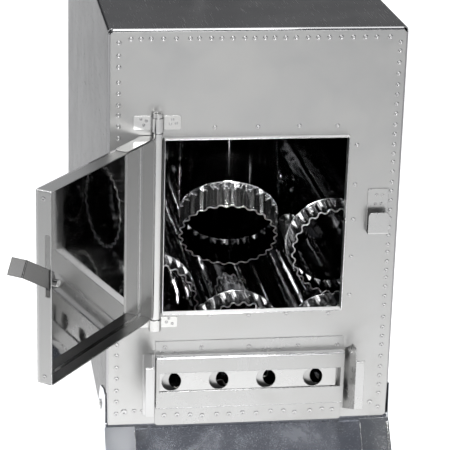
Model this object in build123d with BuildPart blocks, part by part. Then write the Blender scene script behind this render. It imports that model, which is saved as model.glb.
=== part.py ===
"""Camping wood stove in spot-welded stainless sheet, with its flue sections stowed in the firebox.

Millimetres, +Z up. The stove's front faces -Y. The origin is on the ground, under the front leg's
foot flange. The door stands open and the latch hangs part way up, as in use when loading.
"""
import os
from math import cos, radians, sin

from build123d import *

# Body box
body_w = 250.0
body_d = 500.0
panel_h = 352.0
sheet = 1.0
panel_t = 0.8
fold_r = 3.0
seam_w = 16.0
panel_inset = 2.0
corner_relief = 4.0
skirt = 12.5
skirt_start = 60.0

# Door opening and the frame whose lip stands out of it
opening_w = 154.6
opening_h = 155.0
opening_bottom = 104.4
lip_t = 0.8
lip_out = 6.0
lip_flange = 9.0
lip_fit = 0.1

# Door pan and its hinge
door_open_deg = 125.3
hinge_x = -83.9
hinge_out = 5.3
knuckle_r = 4.6
pin_r = 2.4
pin_fit = 0.06
hinge_gap = 0.35
pan_swing_gap = 1.334
pan_far = 165.0
pan_depth = 13.5
pan_margin = 2.2
pan_t = 0.8
tube_over = 4.4
tube_under = 1.0
upper_knuckle_h = 16.3
lower_knuckle_h = 10.6
strap_t = 0.8
strap_reach = 19.8
upper_strap_h = 12.0
lower_strap_h = 10.0
lap_l = 49.0

# Latch and its catch
latch_u = 153.0
latch_z = 183.6
latch_v = -9.0
latch_flat_v = -2.1
latch_step_near = 5.5
latch_step_far = 10.6
latch_w = 14.0
latch_t = 0.8
latch_reach = 53.8
latch_grip = 13.8
latch_rest_deg = 30.0
latch_pin_r = 2.9
latch_fit = 0.08
latch_spacer_r = 4.4
catch_x = 97.0
catch_w = 18.0
catch_bottom = 173.3
catch_top = 212.0
hook_top = 193.0
hook_out = 8.8

# Air intake under the door
intake_w = 165.0
intake_top = 77.5
intake_ledge = 64.5
intake_out = 8.0
window_top = 50.7
window_bottom = 33.0
intake_foot = 17.4
intake_hem = -1.5
air_hole_r = 8.5
air_hole_pitch = 41.4
air_hole_z = 41.0
air_hole_count = 4
slider_t = 0.8
slider_back = 5.9
slider_l = 157.0
slider_mid_x = -2.9
slider_h = 44.0
slider_offset = -7.0
slider_hole_z = 42.5
slider_mid_z = 41.0

# Upright brackets at both ends of the intake
bracket_x = 84.2
bracket_lean = 2.6
bracket_out = 35.0
bracket_flange = 7.5
bracket_foot = 9.0

# Flue outlet in the roof
flue_y = 400.0
flue_bore_r = 44.8
flue_wall = 1.0
flue_up = 40.0
flue_down = 8.0
collar_r = 62.0
collar_t = 1.0

# Flue sections stowed in the firebox
pipe_r = 41.5
pipe_l = 400.0
base_r = 45.5
base_l = 300.0
pipe_wall = 0.8
crimp_l = 26.0
crimp_step = 1.1
crimp_deep = 2.4
crimp_count = 26
stow_gap = 0.35
wall_gap = 0.5
first_x = -2.8
third_lean = 23.0423
base_gap = 3.0422

# Floor, grate and legs
floor_t = 0.8
floor_upturn = 14.0
grate_t = 0.8
grate_z = 14.0
grate_w = 234.0
grate_d = 470.0
leg_drop = 112.0
leg_reach = 93.0
leg_face_w = 26.5
leg_t = 0.8
leg_side_gap = 0.4
leg_lap = 9.0
leg_pivot_y = 34.0
leg_pivot_z = 5.0
foot_w = 12.0
rivet_r = 2.5
rivet_fit = 0.08

# Places that follow from the sizes above
z0 = leg_drop
front_y = leg_reach - foot_w / 2
wrap_front = front_y + panel_t
wrap_rear = wrap_front + body_d
mid_y = (wrap_front + wrap_rear) / 2
half_w = body_w / 2
roof_z = z0 + panel_h
opening_mid = z0 + opening_bottom + opening_h / 2

os.makedirs("parts", exist_ok=True)


def write(name, label):
    """Label a finished piece and write it to its own STEP file."""
    name.part.label = label
    export_step(name.part, f"parts/{label}.step")


def front_plane(y):
    """A plane facing the front at depth y: its x runs right and its y runs up."""
    return Plane(origin=(0, y, 0), x_dir=(1, 0, 0), z_dir=(0, -1, 0))


def side_plane(x):
    """A plane facing right at x: its x runs to the rear and its y runs up."""
    return Plane(origin=(x, 0, 0), x_dir=(0, 1, 0), z_dir=(1, 0, 0))


def rivet_places():
    """Depth and height of the front and rear leg pivots."""
    return [
        (front_y + leg_pivot_y, z0 + leg_pivot_z),
        (2 * mid_y - front_y - leg_pivot_y, z0 + leg_pivot_z),
    ]


# Body wrap: roof and both sides in one folded sheet, with seam flanges at front and rear.
# Each corner is relieved where three folds would meet.
inner_r = fold_r - sheet
with BuildPart() as body_wrap:
    with BuildSketch(front_plane(wrap_rear - fold_r)):
        with Locations((0, z0 + panel_h / 2)):
            RectangleRounded(body_w, panel_h, fold_r)
            RectangleRounded(body_w - 2 * sheet, panel_h - 2 * sheet, inner_r,
                             mode=Mode.SUBTRACT)
        with Locations((0, z0)):
            Rectangle(body_w, 2 * fold_r, align=(Align.CENTER, Align.CENTER), mode=Mode.SUBTRACT)
    extrude(amount=body_d - 2 * fold_r)
    with BuildSketch(Plane.XY.offset(z0 + 1.2)):
        with Locations((0, mid_y)):
            RectangleRounded(body_w, body_d, fold_r)
            RectangleRounded(body_w - 2 * sheet, body_d - 2 * sheet, inner_r, mode=Mode.SUBTRACT)
            Rectangle(body_w - 2 * seam_w, body_d + 2, mode=Mode.SUBTRACT)
    extrude(amount=panel_h - corner_relief - 1.2)
    with BuildSketch(side_plane(corner_relief - half_w)):
        with Locations((mid_y, z0 + panel_h / 2)):
            RectangleRounded(body_d, panel_h, fold_r)
            RectangleRounded(body_d - 2 * sheet, panel_h - 2 * sheet, inner_r,
                             mode=Mode.SUBTRACT)
        with Locations((mid_y, roof_z - seam_w)):
            Rectangle(body_d + 2, panel_h, align=(Align.CENTER, Align.MAX), mode=Mode.SUBTRACT)
    extrude(amount=body_w - 2 * corner_relief)
    for side in (-1, 1):
        with Locations((side * (half_w - sheet / 2), mid_y, z0 + 4)):
            Box(sheet, body_d - 2 * skirt_start, skirt + 4,
                align=(Align.CENTER, Align.CENTER, Align.MAX))
        with Locations((side * (half_w - sheet / 2), mid_y, z0)):
            Box(sheet, body_d - 2 * fold_r, 6, align=(Align.CENTER, Align.CENTER, Align.MIN))
    with BuildSketch(Plane.XY.offset(roof_z + 1)):
        with Locations((0, front_y + flue_y)):
            Circle(flue_bore_r + flue_wall)
    extrude(amount=-3, mode=Mode.SUBTRACT)
    with BuildSketch(side_plane(-half_w - 1)):
        with Locations(rivet_places()):
            Circle(rivet_r + 0.03)
    extrude(amount=body_w + 2, mode=Mode.SUBTRACT)
write(body_wrap, "body_wrap")


# Face outline of the front and rear panels, with clipped corners
panel_side = half_w - panel_inset
panel_top = roof_z - panel_inset
clip = corner_relief - 2
panel_outline = [
    (-panel_side, z0), (panel_side - clip, z0), (panel_side, z0 + clip),
    (panel_side, panel_top - clip), (panel_side - clip, panel_top),
    (clip - panel_side, panel_top), (-panel_side, panel_top - clip),
]

# Front panel, with the door opening and the fixed air holes
hole_xs = [(i - (air_hole_count - 1) / 2) * air_hole_pitch for i in range(air_hole_count)]
with BuildPart() as front_panel:
    with BuildSketch(front_plane(wrap_front)):
        with BuildLine():
            Polyline(*panel_outline, close=True)
        make_face()
        with Locations((0, opening_mid)):
            Rectangle(opening_w + 2 * (lip_t + lip_fit), opening_h + 2 * (lip_t + lip_fit),
                      mode=Mode.SUBTRACT)
        with Locations([(x, z0 + air_hole_z) for x in hole_xs]):
            Circle(air_hole_r, mode=Mode.SUBTRACT)
    extrude(amount=panel_t)
write(front_panel, "front_panel")

# Rear panel, plain
with BuildPart() as rear_panel:
    with BuildSketch(front_plane(wrap_rear + panel_t)):
        with BuildLine():
            Polyline(*panel_outline, close=True)
        make_face()
    extrude(amount=panel_t)
write(rear_panel, "rear_panel")

# Floor pan: its ends turn up behind the panels and its sides turn down inside the skirts
floor_w = body_w - 2 * sheet - 0.1
with BuildPart() as floor_pan:
    with Locations((0, mid_y, z0)):
        Box(floor_w, body_d - 2 * sheet - 0.4, floor_t, align=(Align.CENTER, Align.CENTER, Align.MIN))
        Box(body_w - 2 * seam_w - 4, body_d, floor_t, align=(Align.CENTER, Align.CENTER, Align.MIN))
    for end_y in (wrap_front + floor_t / 2, wrap_rear - floor_t / 2):
        with Locations((0, end_y, z0)):
            Box(body_w - 2 * seam_w - 4, floor_t, floor_upturn,
                align=(Align.CENTER, Align.CENTER, Align.MIN))
    for side in (-1, 1):
        with Locations((side * (floor_w / 2 - floor_t / 2), mid_y, z0 + floor_t)):
            Box(floor_t, body_d - 2 * skirt_start - 4, skirt, align=(Align.CENTER, Align.CENTER, Align.MAX))
write(floor_pan, "floor_pan")

# Grate: a slotted plate on two turned-down edges
slot_l = 58.0
slot_w = 7.0
slot_pitch = 30.0
with BuildPart() as grate:
    with BuildSketch(Plane.XY.offset(z0 + grate_z - grate_t)):
        with Locations((0, mid_y)):
            Rectangle(grate_w, grate_d)
            with GridLocations(slot_l + 12, slot_pitch, 3, 15):
                Rectangle(slot_l, slot_w, mode=Mode.SUBTRACT)
    extrude(amount=grate_t)
    for side in (-1, 1):
        with Locations((side * (grate_w / 2 - grate_t / 2), mid_y, z0 + grate_z)):
            Box(grate_t, grate_d, grate_z - floor_t, align=(Align.CENTER, Align.CENTER, Align.MAX))
write(grate, "grate")

# Door frame: a ring behind the panel whose lip stands out through the opening
with BuildPart() as door_frame:
    with BuildSketch(front_plane(wrap_front + lip_t)):
        with Locations((0, opening_mid)):
            Rectangle(opening_w + 2 * lip_flange, opening_h + 2 * lip_flange)
            Rectangle(opening_w, opening_h, mode=Mode.SUBTRACT)
    extrude(amount=lip_t)
    with BuildSketch(front_plane(wrap_front)):
        with Locations((0, opening_mid)):
            Rectangle(opening_w + 2 * lip_t, opening_h + 2 * lip_t)
            Rectangle(opening_w, opening_h, mode=Mode.SUBTRACT)
    extrude(amount=panel_t + lip_out)
write(door_frame, "door_frame")

# Hinge: two short tubes strapped to the panel, one pin, and a long tube on the door
hinge_y = front_y - hinge_out
pan_bottom = opening_mid - opening_h / 2 - pan_margin
pan_top = opening_mid + opening_h / 2 + pan_margin
tube_bottom = pan_bottom - tube_under
tube_top = pan_top + tube_over
upper_knuckle_z = tube_top + hinge_gap
lower_knuckle_z = tube_bottom - hinge_gap - lower_knuckle_h


def knuckle(bottom, height, label):
    """A hinge tube fixed to the panel."""
    with BuildPart() as tube:
        with BuildSketch(Plane.XY.offset(bottom)):
            with Locations((hinge_x, hinge_y)):
                Circle(knuckle_r)
                Circle(pin_r + 0.03, mode=Mode.SUBTRACT)
        extrude(amount=height)
    write(tube, label)


knuckle(upper_knuckle_z, upper_knuckle_h, "hinge_knuckle_upper")
knuckle(lower_knuckle_z, lower_knuckle_h, "hinge_knuckle_lower")


def hinge_strap(bottom, height, label):
    """A strap bent over a knuckle like an omega, with a leaf on the panel at each side."""
    arch_r = knuckle_r + strap_t
    with BuildPart() as strap:
        with BuildSketch(Plane.XY.offset(bottom)):
            with Locations((hinge_x, hinge_y)):
                Circle(arch_r)
            with Locations((hinge_x, front_y - hinge_out / 2)):
                Rectangle(2 * arch_r, hinge_out)
            with Locations((hinge_x, front_y - strap_t / 2)):
                Rectangle(2 * strap_reach, strap_t)
            with Locations((hinge_x, hinge_y)):
                Circle(knuckle_r + 0.02, mode=Mode.SUBTRACT)
            with Locations((hinge_x, front_y - hinge_out / 2)):
                Rectangle(2 * knuckle_r + 0.04, hinge_out + 1, mode=Mode.SUBTRACT)
            with Locations((hinge_x, front_y + 5)):
                Rectangle(50, 10, mode=Mode.SUBTRACT)
        extrude(amount=height)
        upright = strap.edges().filter_by(Axis.Y).group_by(Axis.X)
        fillet(upright[0] + upright[-1], 1.2)
    write(strap, label)


hinge_strap(upper_knuckle_z + 1, upper_strap_h, "hinge_strap_upper")
hinge_strap(lower_knuckle_z + 0.4, lower_strap_h, "hinge_strap_lower")

with BuildPart() as hinge_pin:
    with BuildSketch(Plane.XY.offset(lower_knuckle_z)):
        with Locations((hinge_x, hinge_y)):
            Circle(pin_r)
    extrude(amount=upper_knuckle_z + upper_knuckle_h - 1.2 - lower_knuckle_z)
    fillet(hinge_pin.edges().filter_by(GeomType.CIRCLE), 0.5)
write(hinge_pin, "hinge_pin")

# The door turns about the hinge axis. Its own frame has u from the hinge to the free edge and
# v from the face towards the stove.
door_turn = radians(door_open_deg)
door_u = Vector(cos(door_turn), -sin(door_turn), 0)
door_v = Vector(sin(door_turn), cos(door_turn), 0)
# The pan starts far enough from the hinge for its outer corner to clear the panel when open
pan_near = (pan_swing_gap - pan_depth * cos(door_turn) - hinge_out) / sin(door_turn)


def door_point(u, v, z):
    """A point of the open door."""
    return Vector(hinge_x, hinge_y, z) + door_u * u + door_v * v


def door_face(v):
    """The door's upright plane at v, facing away from the stove: its x is u and its y is up."""
    return Plane(origin=door_point(0, v, 0), x_dir=door_u, z_dir=-door_v)


def door_level(z):
    """The door's level plane at height z: its x is u and its y is v."""
    return Plane(origin=door_point(0, 0, z), x_dir=door_u, z_dir=(0, 0, 1))


def door_edge(u):
    """The door's upright plane across u: its x is v and its y is up."""
    return Plane(origin=door_point(u, 0, 0), x_dir=door_v, z_dir=door_u)


pan_u = (pan_near + pan_far) / 2
pan_w = pan_far - pan_near
pan_h = pan_top - pan_bottom
latch_height = z0 + latch_z
with BuildPart() as door_pan:
    with BuildSketch(door_face(0)):
        with Locations((pan_u, opening_mid)):
            RectangleRounded(pan_w, pan_h, 1.5)
    extrude(amount=pan_depth)
    with BuildSketch(door_face(0)):
        with Locations((pan_u, opening_mid)):
            RectangleRounded(pan_w - 2 * pan_t, pan_h - 2 * pan_t, 0.7)
    extrude(amount=pan_depth - pan_t, mode=Mode.SUBTRACT)
    with BuildSketch(door_edge(pan_far + 1)):
        with Locations((-3.2, latch_height + 17.5)):
            RectangleRounded(4.6, 51.0, 1.5)
    extrude(amount=-(pan_t + 2), mode=Mode.SUBTRACT)
    with BuildSketch(door_face(pan_t - pan_depth + 1)):
        with Locations((latch_u, latch_height)):
            Circle(latch_pin_r + 0.02)
    extrude(amount=pan_t + 2, mode=Mode.SUBTRACT)
write(door_pan, "door_pan")

with BuildPart() as door_hinge_tube:
    with BuildSketch(door_level(tube_bottom)):
        Circle(knuckle_r)
        Circle(pin_r + pin_fit, mode=Mode.SUBTRACT)
    extrude(amount=tube_top - tube_bottom)
write(door_hinge_tube, "door_hinge_tube")


def door_strap(bottom, label):
    """A flat strap lapped on the pan's top or bottom, notched round the hinge tube."""
    with BuildPart() as strap:
        with BuildSketch(door_level(bottom)):
            with BuildLine():
                Polyline(
                    (0, 0), (0, -7), (5, -pan_depth + 0.3), (lap_l - 3, -pan_depth + 0.3),
                    (lap_l, -pan_depth + 3.3), (lap_l, -0.4), (5, -0.4), close=True,
                )
            make_face()
            Circle(knuckle_r + 0.03, mode=Mode.SUBTRACT)
        extrude(amount=strap_t)
    write(strap, label)


door_strap(pan_top, "door_strap_upper")
door_strap(pan_bottom - strap_t, "door_strap_lower")

# Latch: a fixed pin through the door's face, with a spacer under the lever and a ring over it
ring_v = latch_v + latch_t + 0.35
with BuildPart() as latch_pin:
    with BuildSketch(door_face(-0.7)):
        with Locations((latch_u, latch_height)):
            Circle(latch_pin_r)
    extrude(amount=pan_depth - 0.7 + 1.2)
    with BuildSketch(door_face(-pan_depth)):
        with Locations((latch_u, latch_height)):
            Circle(latch_pin_r + 1.8)
    extrude(amount=1.2)
    with BuildSketch(door_face(latch_v - 0.35)):
        with Locations((latch_u, latch_height)):
            Circle(latch_spacer_r)
    extrude(amount=pan_depth - pan_t + latch_v - 0.35)
    with BuildSketch(door_face(ring_v + 0.6)):
        with Locations((latch_u, latch_height)):
            Circle(latch_pin_r + 0.4)
    extrude(amount=0.6)
write(latch_pin, "latch_pin")

lever_turn = radians(latch_rest_deg)
lever_dir = door_u * cos(lever_turn) + Vector(0, 0, sin(lever_turn))
lever_side = Plane(
    origin=door_point(latch_u, 0, latch_height), x_dir=lever_dir, z_dir=lever_dir.cross(door_v)
)
root_top = latch_v + latch_t
flat_top = latch_flat_v + latch_t
step_shift = 0.4
with BuildPart() as latch_handle:
    with BuildSketch(lever_side) as lever_profile:
        with BuildLine():
            Polyline(
                (0, latch_v), (latch_step_near, latch_v), (latch_step_far, latch_flat_v),
                (latch_reach - latch_t, latch_flat_v), (latch_reach - latch_t, flat_top - latch_grip),
                (latch_reach, flat_top - latch_grip), (latch_reach, flat_top),
                (latch_step_far - step_shift, flat_top), (latch_step_near - step_shift, root_top),
                (0, root_top), close=True,
            )
        make_face()
        fold = lever_profile.vertices().group_by(Axis.X)[-1].sort_by(Axis.Y)[-1]
        fillet(fold, 1.2)
    extrude(amount=latch_w / 2, both=True)
    with BuildSketch(door_face(root_top)):
        with Locations((latch_u, latch_height)):
            Circle(latch_w / 2)
    extrude(amount=latch_t)
    with BuildSketch(door_face(root_top + 1)):
        with Locations((latch_u, latch_height)):
            Circle(latch_pin_r + latch_fit)
    extrude(amount=latch_t + 2, mode=Mode.SUBTRACT)
write(latch_handle, "latch_handle")

# Catch: one strip welded flat on the panel and folded up at its foot into a hook
catch_mid = catch_x + catch_w / 2
with BuildPart() as door_catch:
    with BuildSketch(side_plane(catch_x)):
        with BuildLine():
            Polyline(
                (front_y, z0 + catch_top), (front_y, z0 + catch_bottom),
                (front_y - hook_out, z0 + catch_bottom), (front_y - hook_out, z0 + hook_top),
                (front_y - hook_out + strap_t, z0 + hook_top),
                (front_y - hook_out + strap_t, z0 + catch_bottom + strap_t),
                (front_y - strap_t, z0 + catch_bottom + strap_t),
                (front_y - strap_t, z0 + catch_top), close=True,
            )
        make_face()
    extrude(amount=catch_w)
    folds = door_catch.edges().filter_by(Axis.X).group_by(Axis.Z)[0]
    fillet(folds.sort_by(Axis.Y)[0], 1.5)
    tip = door_catch.edges().filter_by(Axis.Y).group_by(Axis.Y)[0]
    fillet(tip.group_by(Axis.Z)[-1], 3.0)
write(door_catch, "door_catch")

# Air intake cover: one folded sheet with a long open window, over the slider
intake_y = front_y - intake_out
with BuildPart() as intake_cover:
    with BuildSketch(side_plane(-intake_w / 2)):
        with BuildLine():
            Polyline(
                (front_y, z0 + intake_top), (front_y - panel_t, z0 + intake_top),
                (front_y - panel_t, z0 + intake_ledge), (intake_y, z0 + intake_ledge),
                (intake_y, z0 + intake_foot), (front_y - panel_t, z0 + intake_foot),
                (front_y - panel_t, z0 + intake_hem), (front_y, z0 + intake_hem),
                (front_y, z0 + intake_foot + panel_t),
                (intake_y + panel_t, z0 + intake_foot + panel_t),
                (intake_y + panel_t, z0 + intake_ledge - panel_t),
                (front_y, z0 + intake_ledge - panel_t), close=True,
            )
        make_face()
    extrude(amount=intake_w)
    with BuildSketch(front_plane(intake_y + 2)):
        with Locations((0, z0 + (window_top + window_bottom) / 2)):
            Rectangle(intake_w - 6, window_top - window_bottom)
    extrude(amount=4, mode=Mode.SUBTRACT)
    lower = intake_cover.edges().filter_by(Axis.Y).group_by(Axis.Z)[0]
    fillet(lower, 3.0)
write(intake_cover, "intake_cover")

slider_y = front_y - slider_back
with BuildPart() as air_slider:
    with BuildSketch(front_plane(slider_y)):
        with Locations((slider_mid_x, z0 + slider_mid_z)):
            RectangleRounded(slider_l, slider_h, 4)
        with Locations([(x + slider_offset, z0 + slider_hole_z) for x in hole_xs]):
            Circle(air_hole_r, mode=Mode.SUBTRACT)
    extrude(amount=slider_t)
write(air_slider, "air_slider")


def tray_bracket(side, label):
    """An upright bracket: a foot on the panel, a web square to it and a flange at the front."""
    back = front_y
    front = front_y - bracket_out
    near = side * bracket_x
    far = side * (bracket_x + bracket_lean)
    out = side * panel_t
    with BuildPart() as bracket:
        with BuildSketch(Plane.XY.offset(z0 + 4)):
            with BuildLine():
                Polyline(
                    (near, back), (near + side * bracket_foot, back),
                    (near + side * bracket_foot, back - panel_t), (near + out, back - panel_t),
                    (far + out, front + panel_t), (far + side * bracket_flange, front + panel_t),
                    (far + side * bracket_flange, front), (far, front), close=True,
                )
            make_face()
        extrude(amount=80)
        with BuildSketch(side_plane(side * 75)):
            with Locations((back - 20, z0 + 44)):
                Rectangle(60, 100)
            with BuildLine():
                Polyline(
                    (back + 1, z0 + 8), (back + 1, z0 + 66), (back - 1, z0 + 66),
                    (back - 20, z0 + 78), (back - 30, z0 + 78), (front - 1, z0 + 64),
                    (front - 1, z0 + 23.3), close=True,
                )
            make_face(mode=Mode.SUBTRACT)
        extrude(amount=side * 30, mode=Mode.SUBTRACT)
    write(bracket, label)


tray_bracket(-1, "tray_bracket_left")
tray_bracket(1, "tray_bracket_right")

# Flue outlet: a collar ring on the roof and the socket that takes a crimped end
with BuildPart() as flue_collar:
    with BuildSketch(Plane.XY.offset(roof_z)):
        with Locations((0, front_y + flue_y)):
            Circle(collar_r)
            Circle(flue_bore_r + flue_wall, mode=Mode.SUBTRACT)
    extrude(amount=collar_t)
write(flue_collar, "flue_collar")

with BuildPart() as flue_socket:
    with BuildSketch(Plane.XY.offset(roof_z - flue_down)):
        with Locations((0, front_y + flue_y)):
            Circle(flue_bore_r + flue_wall)
            Circle(flue_bore_r, mode=Mode.SUBTRACT)
    extrude(amount=flue_down + flue_up)
write(flue_socket, "flue_socket")


def crimp_points(high, low):
    """Corner points of a fluted ring that steps between two radii."""
    steps = 4 * crimp_count
    radii = [high, high, low, low]
    points = []
    for i in range(steps):
        turn = radians(360 * (i + 0.5) / steps)
        points.append((radii[i % 4] * cos(turn), radii[i % 4] * sin(turn)))
    return points


def flue_section(mouth, out, length, radius, label):
    """A flue section: smooth tube, shoulder and crimped end whose mouth faces along out."""
    ring = Plane(origin=mouth, x_dir=Vector(*out).cross(Vector(0, 0, 1)), z_dir=out)
    high = radius - crimp_step
    low = high - crimp_deep
    with BuildPart() as section:
        with BuildSketch(ring.offset(-crimp_l)):
            with BuildLine():
                Polyline(*crimp_points(high, low), close=True)
            make_face()
            with BuildLine():
                Polyline(*crimp_points(high - pipe_wall, low - pipe_wall), close=True)
            make_face(mode=Mode.SUBTRACT)
        extrude(amount=crimp_l)
        with BuildSketch(ring.offset(-length)):
            Circle(radius)
            Circle(radius - pipe_wall, mode=Mode.SUBTRACT)
        extrude(amount=length - crimp_l)
        with BuildSketch(ring.offset(-crimp_l - pipe_wall)):
            Circle(radius - 0.1)
            Circle(low - pipe_wall - 0.1, mode=Mode.SUBTRACT)
        extrude(amount=pipe_wall)
    write(section, label)


# Four long sections lie along the firebox, mouths to the door. The places are of the mouths'
# centres: across, back from the panel and up from the panel's lower edge. Two lie on the grate,
# the third leans on the first, and the fourth stands on the second beside the right wall.
floor_rest = grate_z + stow_gap + pipe_r
touch = 2 * pipe_r + stow_gap
second_x = first_x + touch
third_x = first_x - touch * cos(radians(third_lean))
third_z = floor_rest + touch * sin(radians(third_lean))
fourth_x = half_w - sheet - wall_gap - pipe_r
fourth_z = floor_rest + (touch**2 - (fourth_x - second_x) ** 2) ** 0.5
mouths = [
    (first_x, 39.0, floor_rest),
    (second_x, 26.0, floor_rest),
    (third_x, 53.0, third_z),
    (fourth_x, 44.0, fourth_z),
]
for number, (x, y, z) in enumerate(mouths, start=1):
    flue_section((x, front_y + y, z0 + z), (0, -1, 0), pipe_l, pipe_r,
                 f"chimney_section_{number}")

# The wider base section leans on the fourth, with its mouth's edge low over the first and its far
# end under the roof. Its sideways place is where the two skew tubes stand one gap apart.
base_out = (-0.11, -0.83, -0.545)
steep = (base_out[0] ** 2 + base_out[1] ** 2) ** 0.5
base_z = floor_rest + pipe_r + base_gap + base_r * steep
lean = (base_out[0] ** 2 + base_out[2] ** 2) ** 0.5
lean_span = (base_r + pipe_r + wall_gap) * lean
base_x = fourth_x + (base_out[0] * (fourth_z - base_z) - lean_span) / -base_out[2]
base_mouth = (base_x, front_y + 95.0, z0 + base_z)
flue_section(base_mouth, base_out, base_l, base_r, "chimney_base_section")


leg_slope = (leg_reach - 1) / (leg_drop - 2)
leg_width = leg_t * (1 + leg_slope**2) ** 0.5


def leg_profile(layer, top):
    """Side profile of a leg's sloping sheet: layer 0 is the front one, and top its upper end."""
    toe_y = front_y - leg_reach + layer * leg_width
    top_y = toe_y + (leg_drop + top) * leg_slope
    return [(top_y, z0 + top), (toe_y, 0), (toe_y + leg_width, 0), (top_y + leg_width, z0 + top)]


def leg(prefix, rear):
    """One folding leg: two angles with cheeks outside the body, and a plate between them."""
    outer = half_w + leg_side_gap + leg_t
    about = Plane.XZ.offset(-mid_y)
    cheek = [
        (-leg_reach, -leg_drop), (53, -leg_drop), (64, -54), (72, -13), (46, 18), (12, 29),
        (1.5, 29), (-1, -2),
    ]
    for side, word in ((-1, "left"), (1, "right")):
        with BuildPart() as angle:
            with BuildSketch(side_plane(side * (outer - leg_t))):
                with BuildLine():
                    Polyline(*[(front_y + y, z0 + z) for y, z in cheek], close=True)
                make_face()
                with Locations(rivet_places()[0]):
                    Circle(rivet_r + rivet_fit, mode=Mode.SUBTRACT)
            extrude(amount=side * leg_t)
            with BuildSketch(side_plane(side * (outer - leg_face_w))):
                with BuildLine():
                    Polyline(*leg_profile(0, -2), close=True)
                make_face()
            extrude(amount=side * leg_face_w)
            if rear:
                mirror(about=about, mode=Mode.REPLACE)
        write(angle, f"{prefix}_leg_angle_{word}")
    plate_half = outer - leg_face_w + leg_lap
    with BuildPart() as plate:
        with BuildSketch(side_plane(-plate_half)):
            with BuildLine():
                Polyline(*leg_profile(1, -4), close=True)
            make_face()
            with Locations((front_y - leg_reach + 2 * leg_width, 0)):
                Rectangle(foot_w - leg_width, leg_t, align=(Align.MIN, Align.MIN))
        extrude(amount=2 * plate_half)
        if rear:
            mirror(about=about, mode=Mode.REPLACE)
    write(plate, f"{prefix}_leg_plate")


leg("front", False)
leg("rear", True)

# Leg pivots: rivets through the walls and the cheeks, one node for each leg
shank_l = sheet + leg_side_gap + leg_t + 0.4
for (rivet_y, rivet_z), rivet_label in zip(rivet_places(), ("leg_rivets_front", "leg_rivets_rear")):
    with BuildPart() as rivets:
        for side in (-1, 1):
            start = side * (half_w - sheet)
            with BuildSketch(side_plane(start)):
                with Locations((rivet_y, rivet_z)):
                    Circle(rivet_r)
            extrude(amount=side * shank_l)
            with BuildSketch(side_plane(start + side * shank_l)):
                with Locations((rivet_y, rivet_z)):
                    Circle(rivet_r + 2)
            extrude(amount=side * 1.4)
            with BuildSketch(side_plane(start)):
                with Locations((rivet_y, rivet_z)):
                    Circle(rivet_r + 1)
            extrude(amount=-side * 1.2)
    write(rivets, rivet_label)
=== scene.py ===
"""Looks of a camping wood stove in spot-welded stainless sheet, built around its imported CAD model.

Lengths in the dataclasses are millimetres in the front panel's own frame: x to the right, y back
from the panel's face and z up from its lower edge. Meshes are made in metres in the CAD frame.
"""
import logging
import math
from dataclasses import dataclass, replace
from enum import Enum

import bpy
from mathutils import Matrix, Vector


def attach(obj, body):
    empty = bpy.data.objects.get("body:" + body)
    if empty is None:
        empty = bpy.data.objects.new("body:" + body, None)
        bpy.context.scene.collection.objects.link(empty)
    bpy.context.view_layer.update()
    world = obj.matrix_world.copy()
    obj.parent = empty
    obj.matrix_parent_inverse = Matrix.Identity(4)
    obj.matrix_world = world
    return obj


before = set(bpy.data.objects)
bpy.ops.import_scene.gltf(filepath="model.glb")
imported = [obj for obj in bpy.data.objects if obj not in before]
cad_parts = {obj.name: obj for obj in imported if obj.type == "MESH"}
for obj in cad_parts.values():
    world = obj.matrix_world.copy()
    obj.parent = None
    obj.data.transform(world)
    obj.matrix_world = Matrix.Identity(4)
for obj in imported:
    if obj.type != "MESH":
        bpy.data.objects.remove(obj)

log = logging.getLogger("stove")
Triple = tuple[float, float, float]
Rim = tuple[Vector, Vector, float]
Tree, Socket = bpy.types.NodeTree, bpy.types.NodeSocket

# The front panel's own frame, in millimetres of the CAD frame
PANEL_Y = 87.0
PANEL_Z = 112.0

# Inner faces of the body's sheet, in metres of the CAD frame
FIREBOX_HALF = 0.12445
FIREBOX_FRONT, FIREBOX_REAR = 0.0874, 0.5882
FIREBOX_FLOOR, FIREBOX_ROOF = 0.11215, 0.46345

# Steel's surface: refraction, smoothest roughness, and what a scratch adds to the roughness
STEEL_IOR = 2.4
LEAST_ROUGH = 0.02
SCRATCH_ROUGH = 0.12


def place(x: float, y: float, z: float) -> Vector:
    """Turn a point of the front panel's frame, in millimetres, into metres of the CAD frame."""
    return Vector((x, y + PANEL_Y, z + PANEL_Z)) / 1000.0


class Facing(Enum):
    """Side of the stove that a weld looks towards."""

    FRONT = Matrix.Rotation(math.radians(90), 4, "X")
    REAR = Matrix.Rotation(math.radians(-90), 4, "X")


@dataclass(frozen=True)
class Zone:
    """Part of a piece, on one side of a plane, with its own colour and roughness: a painted
    highlight on the frame's up-facing faces and the base flue section's ridges, painted shade on the
    door pan's returns.

    Attributes:
        normal: the plane's normal, away from the zone.
        limit: the plane's distance from the origin along its normal, in metres.
        color: linear base colour in the zone.
        rough: roughness in the zone.
        centre: a point on the axis of a round piece whose outer side alone is in the zone.
        facing: direction that the zone's faces look in, if it takes only those.
    """

    normal: Triple
    limit: float
    color: Triple
    rough: float
    centre: Triple | None = None
    facing: Triple | None = None


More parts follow.
